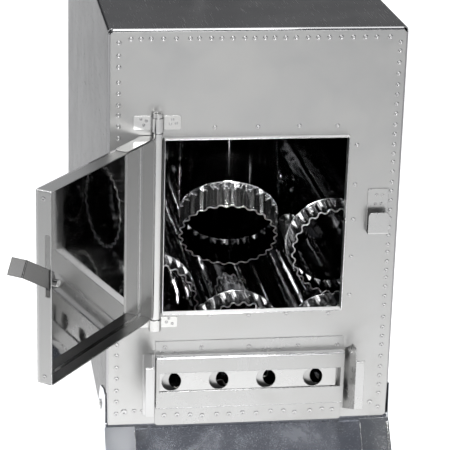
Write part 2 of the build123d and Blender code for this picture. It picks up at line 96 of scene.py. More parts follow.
@dataclass(frozen=True)
class SheetFinish:
    """How one stretch of stainless sheet takes the light.

    Attributes:
        name: material name.
        color: linear base colour.
        rough: mean roughness.
        rough_span: how far smudges move the roughness.
        cloud_scale: size of the broad waves in the sheet, per metre.
        cloud_depth: height of those waves, in metres.
        grain: strength of the fine rolling grain.
        smudge_scale: size of the smudges, per metre.
        tint: linear colour of the heat and handling stains.
        stain: share of the surface that the stains colour, 0 to 1.
        edge: colour at a glancing view, as a share of full.
        firebox_shade: painted shade, the linear colour of the surface inside the firebox; None keeps
            the base colour there.
        zone: a part of the piece with its own colour and roughness; on the frame and the base flue
            section it is a painted highlight, on the door pan painted shade.
    """

    name: str
    color: Triple
    rough: float
    rough_span: float = 0.08
    cloud_scale: float = 9.0
    cloud_depth: float = 0.00035
    grain: float = 0.2
    smudge_scale: float = 28.0
    tint: Triple = (0.62, 0.6, 0.55)
    stain: float = 0.25
    edge: float = 1.0
    firebox_shade: Triple | None = None
    zone: Zone | None = None


def add(
    tree: Tree, kind: str, inputs: dict[str | int, Socket | float | Triple] | None = None,
    **settings: str | int,
) -> bpy.types.Node:
    """Add a node to a tree.

    Args:
        tree: the tree.
        kind: the node's type.
        inputs: for its inputs, by name or number, a socket to link or a value to set.
        settings: its own properties.

    Returns:
        The node.
    """
    node = tree.nodes.new(kind)
    for key, value in settings.items():
        setattr(node, key, value)
    for key, value in (inputs or {}).items():
        if isinstance(value, Socket):
            tree.links.new(value, node.inputs[key])
        else:
            node.inputs[key].default_value = value
    return node


def combine(tree: Tree, operation: str, *values: Socket | float) -> Socket:
    """Combine numbers.

    Args:
        tree: the tree.
        operation: the sum to do.
        values: what it is done on.

    Returns:
        The result.
    """
    inputs = dict(enumerate(values))
    return add(tree, "ShaderNodeMath", inputs, operation=operation).outputs[0]


def compare(tree: Tree, operation: str, first: Socket, second: Socket | Triple) -> Socket:
    """Set one vector against another.

    Args:
        tree: the tree.
        operation: the sum to do.
        first: one vector.
        second: the other.

    Returns:
        The result, a number for a product or a distance and otherwise a vector.
    """
    given = add(tree, "ShaderNodeVectorMath", {0: first, 1: second}, operation=operation).outputs
    return given["Value" if operation in ("DOT_PRODUCT", "DISTANCE") else "Vector"]


def ramp(tree: Tree, value: Socket, span: tuple[float, float], ends: tuple[float, float]) -> Socket:
    """Turn one range of a value into another.

    Args:
        tree: the tree.
        value: the value.
        span: the range that it is taken over.
        ends: what the ends of that range become.

    Returns:
        The result.
    """
    inputs = dict(zip(("Value", "From Min", "From Max", "To Min", "To Max"), (value, *span, *ends)))
    return add(tree, "ShaderNodeMapRange", inputs).outputs["Result"]


class Effects:
    """Node groups that several finishes share."""

    def __init__(self) -> None:
        """Build each group once."""
        self.rolled = self._rolled_sheet()
        self.smudge = self._smudges()
        self.inside = self._firebox_mask()
        self.side = self._plane_mask()
        self.outer = self._outer_side()
        self.facing = self._facing_side()

    @staticmethod
    def _new(name: str, takes: dict[str, float | None], gives: tuple[str, ...]) -> Tree:
        """Start a group.

        Args:
            name: the group's name.
            takes: its inputs, each with its number to start from, or None for a vector.
            gives: its outputs, which are masks but for one named Normal.

        Returns:
            The new node tree, with its input and output nodes in it.
        """
        tree = bpy.data.node_groups.new(name, "ShaderNodeTree")
        for key, value in takes.items():
            kind = "NodeSocketVector" if value is None else "NodeSocketFloat"
            sock = tree.interface.new_socket(key, in_out="INPUT", socket_type=kind)
            if value is not None:
                sock.default_value = value
        for key in gives:
            kind = "NodeSocketVector" if key == "Normal" else "NodeSocketFloat"
            tree.interface.new_socket(key, in_out="OUTPUT", socket_type=kind)
        tree.nodes.new("NodeGroupInput").name = "in"
        tree.nodes.new("NodeGroupOutput").name = "out"
        return tree

    @staticmethod
    def _give(tree: Tree, **results: Socket) -> Tree:
        """Link a group's results to its outputs.

        Args:
            tree: the group.
            results: what each output gives.

        Returns:
            The finished group.
        """
        for key, result in results.items():
            tree.links.new(result, tree.nodes["out"].inputs[key])
        return tree

    def _rolled_sheet(self) -> Tree:
        """Make the broad waves, fine rolling grain and rounded bends of thin sheet.

        Returns:
            The group, which gives a normal.
        """
        takes = {"Scale": 9.0, "Depth": 0.0003, "Grain": 0.2, "Bend": 0.0007}
        tree = self._new("rolled_sheet", takes, ("Normal",))
        given = tree.nodes["in"].outputs
        spot = add(tree, "ShaderNodeTexCoord").outputs["Object"]
        wave = add(tree, "ShaderNodeTexNoise", {
            "Vector": spot, "Scale": given["Scale"], "Detail": 1.5, "Roughness": 0.4,
        })
        stretch = add(tree, "ShaderNodeMapping", {"Vector": spot, "Scale": (900.0, 900.0, 60.0)})
        grain = add(tree, "ShaderNodeTexNoise", {
            "Vector": stretch.outputs["Vector"], "Scale": 1.0, "Detail": 2.0,
        })
        bend = add(tree, "ShaderNodeBevel", {"Radius": given["Bend"]}, samples=6)
        broad = add(tree, "ShaderNodeBump", {
            "Normal": bend.outputs["Normal"], "Height": wave.outputs["Fac"],
            "Strength": 1.0, "Distance": given["Depth"],
        })
        fine = add(tree, "ShaderNodeBump", {
            "Normal": broad.outputs["Normal"], "Height": grain.outputs["Fac"],
            "Strength": given["Grain"], "Distance": 0.00001,
        })
        return self._give(tree, Normal=fine.outputs["Normal"])

    def _smudges(self) -> Tree:
        """Make the finger marks, wiping streaks and fine scratches.

        Returns:
            The group, which gives two masks from 0 to 1.
        """
        tree = self._new("smudges", {"Scale": 28.0}, ("Mask", "Scratch"))
        spot = add(tree, "ShaderNodeTexCoord").outputs["Object"]
        blot = add(tree, "ShaderNodeTexNoise", {
            "Vector": spot, "Scale": tree.nodes["in"].outputs["Scale"],
            "Detail": 6.0, "Roughness": 0.62, "Distortion": 0.6,
        })
        thin = add(tree, "ShaderNodeMapping", {
            "Vector": spot, "Rotation": (0.5, 0.9, 0.35), "Scale": (1400.0, 50.0, 1400.0),
        })
        streak = add(tree, "ShaderNodeTexNoise", {
            "Vector": thin.outputs["Vector"], "Scale": 1.0, "Detail": 1.0,
        })
        mask = ramp(tree, blot.outputs["Fac"], (0.38, 0.68), (0.0, 1.0))
        scratch = ramp(tree, streak.outputs["Fac"], (0.66, 0.74), (0.0, 1.0))
        return self._give(tree, Mask=mask, Scratch=scratch)

    def _firebox_mask(self) -> Tree:
        """Tell the inside of the body's sheet from the outside.

        Returns:
            The group, whose mask is 1 inside and 0 outside.
        """
        tree = self._new("firebox_mask", {}, ("Mask",))
        spot = add(tree, "ShaderNodeTexCoord").outputs["Object"]
        x, y, z = add(tree, "ShaderNodeSeparateXYZ", {"Vector": spot}).outputs
        mask = combine(tree, "LESS_THAN", combine(tree, "ABSOLUTE", x), FIREBOX_HALF)
        for value, operation, bound in (
            (y, "GREATER_THAN", FIREBOX_FRONT), (y, "LESS_THAN", FIREBOX_REAR),
            (z, "LESS_THAN", FIREBOX_ROOF), (z, "GREATER_THAN", FIREBOX_FLOOR),
        ):
            mask = combine(tree, "MULTIPLY", mask, combine(tree, operation, value, bound))
        return self._give(tree, Mask=mask)

    def _plane_mask(self) -> Tree:
        """Tell the two sides of a plane apart.

        Returns:
            The group, whose mask falls from 1 on the near side to 0 over two millimetres.
        """
        tree = self._new("plane_mask", {"Limit": 0.0, "Normal": None}, ("Mask",))
        given = tree.nodes["in"].outputs
        spot = add(tree, "ShaderNodeTexCoord").outputs["Object"]
        along = compare(tree, "DOT_PRODUCT", spot, given["Normal"])
        gap = combine(tree, "SUBTRACT", given["Limit"], along)
        return self._give(tree, Mask=ramp(tree, gap, (-0.001, 0.001), (0.0, 1.0)))

    def _outer_side(self) -> Tree:
        """Tell a tube's outer faces from its inner ones.

        Returns:
            The group, whose mask is 1 on the faces that look away from the axis.
        """
        tree = self._new("outer_side", {"Centre": None, "Axis": None}, ("Mask",))
        given = tree.nodes["in"].outputs
        coord = add(tree, "ShaderNodeTexCoord").outputs
        offset = compare(tree, "SUBTRACT", coord["Object"], given["Centre"])
        spoke = compare(tree, "SUBTRACT", offset, compare(tree, "PROJECT", offset, given["Axis"]))
        faced = compare(tree, "DOT_PRODUCT", spoke, coord["Normal"])
        return self._give(tree, Mask=combine(tree, "GREATER_THAN", faced, 0.0))

    def _facing_side(self) -> Tree:
        """Find the faces that look within 45 degrees of one direction.

        Returns:
            The group, whose mask is 1 on those faces.
        """
        tree = self._new("facing_side", {"Direction": None}, ("Mask",))
        normal = add(tree, "ShaderNodeTexCoord").outputs["Normal"]
        faced = compare(tree, "DOT_PRODUCT", normal, tree.nodes["in"].outputs["Direction"])
        return self._give(tree, Mask=combine(tree, "GREATER_THAN", faced, 0.7))


class Finishes:
    """Materials of the stove."""

    def __init__(self) -> None:
        """Build the shared effects and start an empty set of materials."""
        self.effects = Effects()
        self.made: dict[str, bpy.types.Material] = {}

    @staticmethod
    def _lay(tree: Tree, mask: Socket, base: Socket | Triple, value: float | Triple) -> Socket:
        """Lay a roughness or a colour over another where a mask is 1.

        Args:
            tree: the material's nodes.
            mask: where the value shows.
            base: what shows elsewhere.
            value: a roughness, or a colour as three numbers.

        Returns:
            The result.
        """
        kind = "RGBA" if isinstance(value, tuple) else "FLOAT"
        below, above = ((*v, 1.0) if isinstance(v, tuple) else v for v in (base, value))
        inputs = {"Factor": mask, "A": below, "B": above}
        return add(tree, "ShaderNodeMix", inputs, data_type=kind).outputs["Result"]

    @staticmethod
    def _mask(tree: Tree, effect: Tree, **values: float | Triple) -> Socket:
        """Place a shared mask in a material.

        Args:
            tree: the material's nodes.
            effect: the mask's group.
            values: what its inputs are set to.

        Returns:
            The mask.
        """
        return add(tree, "ShaderNodeGroup", values, node_tree=effect).outputs["Mask"]

    def _handled(self, tree: Tree, finish: SheetFinish) -> tuple[Socket, Socket]:
        """Vary a finish with stains, smudges and scratches.

        Args:
            tree: the material's nodes.
            finish: the finish.

        Returns:
            Its colour and its roughness.
        """
        marks = add(
            tree, "ShaderNodeGroup", {"Scale": finish.smudge_scale}, node_tree=self.effects.smudge
        ).outputs
        smooth = max(LEAST_ROUGH, finish.rough - finish.rough_span)
        dull = finish.rough + finish.rough_span
        smudged = ramp(tree, marks["Mask"], (0.0, 1.0), (smooth, dull))
        rough = combine(tree, "MULTIPLY_ADD", marks["Scratch"], SCRATCH_ROUGH, smudged)
        amount = combine(tree, "MULTIPLY", marks["Mask"], finish.stain)
        return self._lay(tree, amount, finish.color, finish.tint), rough

    def _zone_mask(self, tree: Tree, zone: Zone) -> Socket:
        """Mark the part of a piece that a zone takes.

        Args:
            tree: the material's nodes.
            zone: the zone.

        Returns:
            Its mask.
        """
        mask = self._mask(tree, self.effects.side, Normal=zone.normal, Limit=zone.limit)
        if zone.centre is not None:
            outer = self._mask(tree, self.effects.outer, Centre=zone.centre, Axis=zone.normal)
            mask = combine(tree, "MULTIPLY", mask, outer)
        if zone.facing is not None:
            faced = self._mask(tree, self.effects.facing, Direction=zone.facing)
            mask = combine(tree, "MULTIPLY", mask, faced)
        return mask

    def sheet(self, finish: SheetFinish) -> bpy.types.Material:
        """Make, or find, the material of a sheet finish.

        Args:
            finish: the finish to build.

        Returns:
            The material.
        """
        if finish.name in self.made:
            return self.made[finish.name]
        mat = bpy.data.materials.new(finish.name)
        mat.use_nodes = True
        tree = mat.node_tree
        shader = tree.nodes["Principled BSDF"]
        shader.inputs["Metallic"].default_value = 1.0
        shader.inputs["IOR"].default_value = STEEL_IOR
        shader.inputs["Specular Tint"].default_value = (finish.edge, finish.edge, finish.edge, 1.0)
        waves = {"Scale": finish.cloud_scale, "Depth": finish.cloud_depth, "Grain": finish.grain}
        rolled = add(tree, "ShaderNodeGroup", waves, node_tree=self.effects.rolled)
        tree.links.new(rolled.outputs["Normal"], shader.inputs["Normal"])
        colour, rough = self._handled(tree, finish)
        # Painted shade inside the firebox: a darker colour there, and a lower roughness
        if finish.firebox_shade is not None:
            inside = self._mask(tree, self.effects.inside)
            colour = self._lay(tree, inside, colour, finish.firebox_shade)
            rough = self._lay(tree, inside, rough, FIREBOX_ROUGH)
        # On the frame and the base flue section's ridges the zone's colour is a painted highlight,
        # on the door pan's returns painted shade
        if finish.zone is not None:
            mask = self._zone_mask(tree, finish.zone)
            colour = self._lay(tree, mask, colour, finish.zone.color)
            rough = self._lay(tree, mask, rough, finish.zone.rough)
        tree.links.new(rough, shader.inputs["Roughness"])
        tree.links.new(colour, shader.inputs["Base Color"])
        self.made[finish.name] = mat
        return mat

    def dress(self, node: str, finish: SheetFinish) -> None:
        """Give a CAD node a finish in all its slots.

        Args:
            node: the node's name.
            finish: its finish.
        """
        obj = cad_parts[node]
        mat = self.sheet(finish)
        for spot in obj.material_slots:
            spot.material = mat
        if not obj.material_slots:
            obj.data.materials.append(mat)


# The open door: its hinge line in metres, and its own directions along and through the sheet
DOOR_TURN = math.radians(125.3)
HINGE_LINE = (-0.0839, 0.0817)
OPEN_U = (math.cos(DOOR_TURN), -math.sin(DOOR_TURN))
OPEN_V = (math.sin(DOOR_TURN), math.cos(DOOR_TURN))
RETURNS_FROM = 0.0116
RETURNS = HINGE_LINE[0] * OPEN_V[0] + HINGE_LINE[1] * OPEN_V[1] - RETURNS_FROM

# Finishes, each with a linear base colour and a roughness
# Painted shade: inside the firebox the sheet takes a colour darker than the front and rear sheet,
# with a low roughness
FIREBOX_SHADE = (0.34, 0.34, 0.345)
FIREBOX_ROUGH = 0.06
FRONT = SheetFinish("front_sheet", (0.4, 0.4, 0.396), 0.38, stain=0.12, firebox_shade=FIREBOX_SHADE)
WALL = SheetFinish(
    "wall_sheet", (0.34, 0.34, 0.345), 0.22, rough_span=0.02, cloud_depth=0.0001,
    grain=0.02, stain=0.03, edge=0.3, firebox_shade=FIREBOX_SHADE,
)
REAR = SheetFinish("rear_sheet", (0.4, 0.4, 0.405), 0.3, stain=0.1, firebox_shade=FIREBOX_SHADE)
TRIM = SheetFinish("trim_sheet", (0.42, 0.42, 0.417), 0.3, stain=0.12)
WELD = SheetFinish("weld_steel", (0.4, 0.4, 0.4), 0.1, rough_span=0.04, stain=0.1)
# Painted highlight: the frame's and intake cover's up-facing faces take a near-white colour, with a
# high roughness
FRAME = SheetFinish(
    "frame_lip_sheet", (0.36, 0.36, 0.357), 0.34, stain=0.1,
    zone=Zone((0.0, 0.0, 1.0), 1.0, (0.97, 0.97, 0.97), 0.75, facing=(0.0, 0.0, 1.0)),
)
BRACKET = SheetFinish("bracket_sheet", (0.46, 0.46, 0.46), 0.36, stain=0.1)
# Painted shade: the latch's steel is painted far darker than the other steel
LATCH = SheetFinish("latch_steel", (0.13, 0.13, 0.13), 0.22, edge=0.6, stain=0.1)
# Painted shade: the door pan's returns take a darker colour than its mirror face, and a higher
# roughness
MIRROR = SheetFinish(
    "door_mirror_sheet", (0.48, 0.48, 0.48), 0.05, rough_span=0.03, cloud_scale=7.0,
    cloud_depth=0.0002, stain=0.12,
    zone=Zone((-OPEN_V[0], -OPEN_V[1], 0.0), -RETURNS, (0.38, 0.38, 0.375), 0.28),
)
TUBE = SheetFinish("flue_sheet", (0.42, 0.42, 0.43), 0.08, rough_span=0.05, stain=0.2)
# Painted highlight: the flue's cut edges take a near-white steel, far paler than the flue sheet
EDGE = SheetFinish("cut_edge_steel", (0.95, 0.95, 0.95), 0.35, stain=0.0)
# Painted highlight: the rims' steel is near white, far paler than the sheet they run along
BEND = SheetFinish("bend_steel", (1.0, 1.0, 1.0), 0.17, rough_span=0.02, stain=0.0)
# Painted highlight: the rolled shoulders take a pale steel, far paler than the flue sheet
SHOULDER = SheetFinish("shoulder_steel", (0.85, 0.85, 0.86), 0.12, stain=0.1)
LEG = SheetFinish(
    "leg_sheet", (0.44, 0.46, 0.51), 0.24, cloud_scale=12.0, tint=(0.5, 0.5, 0.52),
)
LEG_FACE = SheetFinish("leg_angle_sheet", (0.48, 0.5, 0.53), 0.2)
# Painted highlight: the front leg's left angle is painted paler than the other angles
LEG_HIGHLIGHT = SheetFinish("leg_highlight_sheet", (0.66, 0.68, 0.72), 0.36)
HINGE = SheetFinish("hinge_steel", (0.52, 0.52, 0.515), 0.17, stain=0.2)
GRATE = SheetFinish("grate_sheet", (0.2, 0.19, 0.18), 0.3, stain=0.4)

# Mouths of the stowed flue sections, in millimetres of the panel's frame
SECTION_MOUTHS = (
    (-2.8, 39.0, 55.85), (80.55, 26.0, 55.85), (-79.5, 53.0, 88.474), (82.0, 44.0, 139.187),
)
BASE_INDEX = 4
BASE_MOUTH = (-7.406, 95.0, 138.487)
BASE_RUN = Vector((0.11, 0.83, 0.545))
CRIMP = 26.0

# The front leg in millimetres of the CAD frame: y of its plate and of its face at the ground,
# and how far they go back for each millimetre that they rise
LEG_FOOT = -4.31
LEG_FACE_FOOT = -5.9
LEG_SLOPE = 92.0 / 110.0

# Places of the spot welds, in millimetres of the panel's frame
TOP_SEAM = (
    -106.2, -98.0, -89.6, -79.6, -69.0, -57.6, -50.1, -40.2, -31.6, -22.5, -12.6, -4.3,
    4.3, 12.3, 21.4, 30.1, 40.1, 48.6, 57.9, 67.9, 78.0, 88.1, 97.7, 109.1,
)
LEFT_SEAM = (
    340.9, 330.1, 320.4, 307.4, 298.1, 288.3, 279.7, 270.3, 260.0, 246.4, 236.1, 225.3, 214.0,
    203.6, 192.7, 182.1, 171.0, 160.6, 149.9, 139.3, 128.2, 117.9, 107.1, 96.3, 85.8, 75.0, 65.2,
    53.9, 43.6, 32.3, 21.9, 10.4,
)
RIGHT_SEAM = (
    339.5, 332.2, 322.1, 312.5, 303.1, 294.6, 286.3, 277.9, 268.3, 260.0, 250.9, 242.8, 235.3,
    226.8, 217.5, 209.5, 201.1, 192.6, 184.8, 176.7, 169.1, 160.9, 154.1, 145.5, 137.6, 130.6,
    122.4, 113.5, 105.1, 93.8, 84.4, 75.9, 67.9, 56.9, 47.0, 38.4, 29.7, 21.4, 8.2,
)
OPENING_RING = (
    (-35.6, 268.4), (0.6, 268.3), (35.6, 268.6), (68.1, 268.2),
    (85.5, 251.0), (85.5, 215.9), (85.4, 184.5), (85.3, 150.5), (85.4, 115.5),
    (-70.4, 98.4), (-36.3, 99.5), (-2.2, 99.0), (30.7, 99.7), (67.4, 98.8),
)
COVER_TOP = ((-74.4, 72.0), (-42.6, 71.2), (-1.1, 70.4), (42.0, 69.8), (76.7, 69.4))
COVER_HEM = (
    (-74.2, 7.8), (-62.8, 8.1), (-51.4, 7.6), (-40.8, 6.4), (-27.9, 7.2), (-17.0, 6.8), (-5.1, 7.7),
    (7.1, 6.8), (19.8, 8.2), (31.3, 8.0), (41.3, 6.2), (54.8, 7.3), (65.7, 8.4), (74.7, 7.6),
)
STRAP_AND_CATCH = (
    (-97.5, 276.5), (-93.0, 275.0), (-95.0, 271.5), (-71.0, 276.0), (-73.0, 272.0), (-68.0, 272.5),
    (-71.5, 99.0), (-73.5, 95.5), (-68.5, 94.0), (-96.0, 98.0), (-98.0, 94.0),
    (104.5, 206.5), (109.5, 206.2), (103.8, 198.5), (108.8, 198.8),
)
PANEL_FOOT = ((-109.2, 12.1, 1.3), (-100.4, 12.7, 0.9), (-93.5, 12.4, 0.8), (108.8, 13.0, 1.1))


def door_place(u: float, v: float, z: float) -> Vector:
    """Turn a point of the open door into metres of the CAD frame.

    Args:
        u: millimetres from the hinge line along the door.
        v: millimetres from the door's rim, away from its outer face.
        z: millimetres above the panel's lower edge.

    Returns:
        The point.
    """
    x = HINGE_LINE[0] + (OPEN_U[0] * u + OPEN_V[0] * v) / 1000
    y = HINGE_LINE[1] + (OPEN_U[1] * u + OPEN_V[1] * v) / 1000
    return Vector((x, y, (z + PANEL_Z) / 1000))


def crimped(index: int, run: Vector, mouth: Vector) -> SheetFinish:
    """Give the flue finish with rougher ridges over a section's crimped end: on the base section the
    ridges are a near-white painted highlight and the rest of its tube is painted shade; on the
    stowed sections the ridges are darker than the tube.

    Args:
        index: number that keeps the finish's name apart.
        run: direction into the section.
        mouth: centre of the section's mouth.

    Returns:
        The finish.
    """
    limit = mouth.dot(run) + CRIMP / 1000
    leaning = index == BASE_INDEX
    # On the base section the ridges' near-white colour is a painted highlight; on the stowed
    # sections the ridges are darker than the tube
    bright, rough = (1.0, 0.15) if leaning else (0.42, 0.16)
    zone = Zone(tuple(run), limit, (bright, bright, bright), rough, tuple(mouth))
    name = f"flue_sheet_{index}"
    # Painted shade: the base section's tube and its stain tint are dark
    if leaning:
        dark = {"color": (0.26, 0.26, 0.265), "tint": (0.3, 0.29, 0.28)}
        return replace(TUBE, name=name, zone=zone, **dark)
    return replace(
        TUBE, name=name, color=(0.62, 0.62, 0.63), tint=(0.5, 0.49, 0.47), rough=0.06,
        cloud_scale=26.0, cloud_depth=0.0007, zone=zone,
    )


class MeshBench:
    """Small helpers round Blender's modelling operators."""

    @staticmethod
    def clear() -> None:
        """Leave edit mode and deselect everything."""
        if bpy.context.object and bpy.context.object.mode != "OBJECT":
            bpy.ops.object.mode_set(mode="OBJECT")
        bpy.ops.object.select_all(action="DESELECT")

    @staticmethod
    def top_face(obj: bpy.types.Object) -> None:
        """Select only the face that looks most upwards and lies highest.

        Args:
            obj: the piece, which is left in edit mode.
        """
        bpy.ops.object.mode_set(mode="OBJECT")
        best = max(obj.data.polygons, key=lambda f: (f.normal.z > 0.9, f.center.z, f.area))
        for item in (*obj.data.vertices, *obj.data.edges, *obj.data.polygons):
            item.select = False
        best.select = True
        bpy.ops.object.mode_set(mode="EDIT")
        bpy.ops.mesh.select_mode(type="FACE")

    @staticmethod
    def settle(obj: bpy.types.Object) -> None:
        """Apply an object's place, turn and size to its mesh."""
        obj.data.transform(obj.matrix_world)
        obj.matrix_world = Matrix.Identity(4)


@dataclass
class SpotWelds:
    """Spot welds of the seams: shallow rings pressed into the sheet.

    Attributes:
        radius: outer radius of a weld.
        rise: how far its rim stands out of the sheet.
        sink: how far it reaches into the sheet.
        foot: height of its outer edge.
        dish: width and rise of each ring inwards from the rim.
        top_row: height of the top seam's welds.
        side_row: distance of the side seams' welds from the middle.
        right_lean: how far the right seam's welds go out for each millimetre up.
        rear: depth of the rear panel's outer face.
        sheet: gauge of the trim that is welded to the panel.
    """

    finishes: Finishes
    radius: float = 2.1
    rise: float = 0.46
    sink: float = 0.1
    foot: float = 0.03
    dish: tuple[tuple[float, float], ...] = ((0.5, 0.04), (0.5, -0.16), (0.4, -0.14))
    top_row: float = 344.0
    side_row: float = 116.0
    right_lean: float = 0.0062
    rear: float = 501.6
    sheet: float = 0.8

    def pattern(self) -> bpy.types.Object:
        """Model one weld at the origin, facing up.

        Returns:
            The weld.
        """
        MeshBench.clear()
        bpy.ops.mesh.primitive_cylinder_add(
            vertices=14, radius=self.radius / 1000, depth=(self.rise + self.sink) / 1000,
            location=(0, 0, (self.rise - self.sink) / 2000),
        )
        weld = bpy.context.object
        MeshBench.top_face(weld)
        for width, rise in self.dish:
            bpy.ops.mesh.inset(thickness=width / 1000, depth=rise / 1000)
        bpy.ops.object.mode_set(mode="OBJECT")
        for vert in weld.data.vertices:
            reach = math.hypot(vert.co.x, vert.co.y)
            if reach > self.radius / 1000 * 0.99 and vert.co.z > 0:
                vert.co.z = self.foot / 1000
        MeshBench.settle(weld)
        return weld

    def stamp(
        self, name: str, body: str, spots: list[tuple[Vector, Facing | Matrix, float]]
    ) -> None:
        """Copy the weld to many places and join the copies into one piece.

        Args:
            name: the piece's name.
            body: the body that it rides on.
            spots: place in metres, facing and size of each weld.
        """
        pattern = self.pattern()
        copies = []
        for place_at, facing, size in spots:
            copy = pattern.copy()
            copy.data = pattern.data.copy()
            bpy.context.collection.objects.link(copy)
            turn = facing.value if isinstance(facing, Facing) else facing
            copy.data.transform(Matrix.Translation(place_at) @ turn @ Matrix.Scale(size, 4))
            copies.append(copy)
        bpy.data.objects.remove(pattern)
        MeshBench.clear()
        for copy in copies:
            copy.select_set(True)
        bpy.context.view_layer.objects.active = copies[0]
        bpy.ops.object.join()
        piece = bpy.context.object
        piece.name = name
        bpy.ops.object.shade_smooth_by_angle(angle=math.radians(50))
        piece.data.materials.append(self.finishes.sheet(WELD))
        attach(piece, body)
        log.info("%s: %d welds", name, len(spots))

    def panel_seams(self, y: float, facing: Facing) -> list[tuple[Vector, Facing, float]]:
        """List the welds round the top and sides of a panel.

        Args:
            y: depth of the panel's outer face.
            facing: side that the panel looks towards.

        Returns:
            Place, facing and size of each weld.
        """
        spots = [(place(x, y, self.top_row), facing, 1.0) for x in TOP_SEAM]
        spots += [(place(-self.side_row, y, z), facing, 1.0) for z in LEFT_SEAM]
        for z in RIGHT_SEAM:
            spots.append((place(self.side_row + z * self.right_lean, y, z), facing, 0.92))
        return spots

    def build(self) -> None:
        """Make the welds of every seam."""
        front = self.panel_seams(0.0, Facing.FRONT)
        self.stamp("front_seam_welds", "stove_body", front)
        self.stamp("rear_seam_welds", "stove_body", self.panel_seams(self.rear, Facing.REAR))
        spots = [(place(x, 0.0, z), Facing.FRONT, 0.9) for x, z in OPENING_RING]
        spots += [(place(x, -self.sheet, z), Facing.FRONT, 0.9) for x, z in COVER_TOP]
        spots += [(place(x, -self.sheet, z), Facing.FRONT, 1.0) for x, z in COVER_HEM]
        spots += [(place(x, -self.sheet, z), Facing.FRONT, 0.62) for x, z in STRAP_AND_CATCH]
        spots += [(place(x, 0.0, z), Facing.FRONT, size) for x, z, size in PANEL_FOOT]
        self.stamp("trim_welds", "stove_body", spots)
        edge = Vector((*OPEN_U, 0.0)).to_track_quat("Z", "Y").to_matrix().to_4x4()
        spots = [(door_place(165.0, -6.6, z), edge, 0.9) for z in (108.5, 255.0)]
        self.stamp("door_corner_welds", "door", spots)


@dataclass
class FlueEnds:
    """Cut edges and rolled shoulders of the stowed flue sections, bright from a painted highlight in
    their pale steel.

    Attributes:
        bead: radius of the burr along a cut edge.
        shoulder: radius of the roll behind the crimps.
        spread: how much longer the roll is along the tube than across its sheet.
        inset: how far the roll's middle lies inside the section's outer face.
        tube: outer radius of a section.
        wide_tube: outer radius of the base section.
        near: distance from the mouth within which a point belongs to it.
    """

    finishes: Finishes
    bead: float = 0.15
    shoulder: float = 0.5
    spread: float = 1.5
    inset: float = 0.35
    tube: float = 41.5
    wide_tube: float = 45.5
    near: float = 0.05

    def mouths(self) -> dict[str, tuple[Vector, Vector, float]]:
        """Find the mouths of all sections.

        Returns:
            For each CAD node its mouth, its direction inwards and its radius in millimetres.
        """
        straight = Vector((0.0, 1.0, 0.0))
        found = {}
        for i, (x, y, z) in enumerate(SECTION_MOUTHS, start=1):
            found[f"chimney_section_{i}"] = (place(x, y, z), straight, self.tube)
        mouth, run = place(*BASE_MOUTH), BASE_RUN.normalized()
        found["chimney_base_section"] = (mouth, run, self.wide_tube)
        return found

    def cut_edge(self, node: str, mouth: Vector, run: Vector) -> bpy.types.Object:
        """Run a thin bead along both edges of a section's crimped mouth.

        Args:
            node: the section's CAD node.
            mouth: centre of its mouth.
            run: direction into the section.

        Returns:
            The bead.
        """
        MeshBench.clear()
        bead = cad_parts[node].copy()
        bead.data = bead.data.copy()
        bead.parent = None
        bead.matrix_world = Matrix.Identity(4)
        bpy.context.collection.objects.link(bead)
        bead.hide_set(False)
        bead.select_set(True)
        bpy.context.view_layer.objects.active = bead
        bpy.ops.object.mode_set(mode="EDIT")
        bpy.ops.mesh.select_mode(type="FACE")
        bpy.ops.mesh.select_all(action="SELECT")
        bpy.ops.mesh.remove_doubles(threshold=0.000002)
        bpy.ops.mesh.select_all(action="DESELECT")
        bpy.ops.object.mode_set(mode="OBJECT")
        points = bead.data.vertices
        near = self.near / 1000
        for face in bead.data.polygons:
            face.select = any(abs((points[v].co - mouth).dot(run)) > near for v in face.vertices)
        bpy.ops.object.mode_set(mode="EDIT")
        bpy.ops.mesh.delete(type="FACE")
        bpy.ops.mesh.select_all(action="SELECT")
        bpy.ops.mesh.region_to_loop()
        bpy.ops.mesh.select_all(action="INVERT")
        bpy.ops.mesh.delete(type="EDGE")
        bpy.ops.mesh.select_all(action="SELECT")
        bpy.ops.mesh.delete(type="ONLY_FACE")
        bpy.ops.object.mode_set(mode="OBJECT")
        bpy.ops.object.convert(target="CURVE")
        bead = bpy.context.object
        bead.data.bevel_depth = self.bead / 1000
        bead.data.bevel_resolution = 1
        bpy.ops.object.convert(target="MESH")
        return bpy.context.object

    def build(self) -> None:
        """Make the beads and shoulders of all sections."""
        for node, (mouth, run, radius) in self.mouths().items():
            edge = self.cut_edge(node, mouth, run)
            # Painted highlight: the cut edge takes the near-white edge steel and the shoulder the
            # pale shoulder steel
            self._finish(edge, f"{node}_cut_edge", EDGE)
            MeshBench.clear()
            turn = run.to_track_quat("Z", "Y").to_euler()
            bpy.ops.mesh.primitive_torus_add(
                major_segments=96, minor_segments=10,
                major_radius=(radius - self.inset) / 1000, minor_radius=self.shoulder / 1000,
                location=mouth + run * CRIMP / 1000, rotation=turn,
            )
            bpy.ops.object.mode_set(mode="EDIT")
            bpy.ops.transform.resize(value=(1.0, 1.0, self.spread), orient_type="LOCAL")
            bpy.ops.object.mode_set(mode="OBJECT")
            self._finish(bpy.context.object, f"{node}_shoulder", SHOULDER)

    def _finish(self, piece: bpy.types.Object, name: str, finish: SheetFinish) -> None:
        """Name a piece, dress it and let it ride on the stove's body.

        Args:
            piece: the piece.
            name: its name.
            finish: its finish.
        """
        piece.name = name
        MeshBench.settle(piece)
        bpy.ops.object.shade_smooth()
        piece.data.materials.clear()
        piece.data.materials.append(self.finishes.sheet(finish))
        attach(piece, "stove_body")
        log.info("%s: %d faces", name, len(piece.data.polygons))


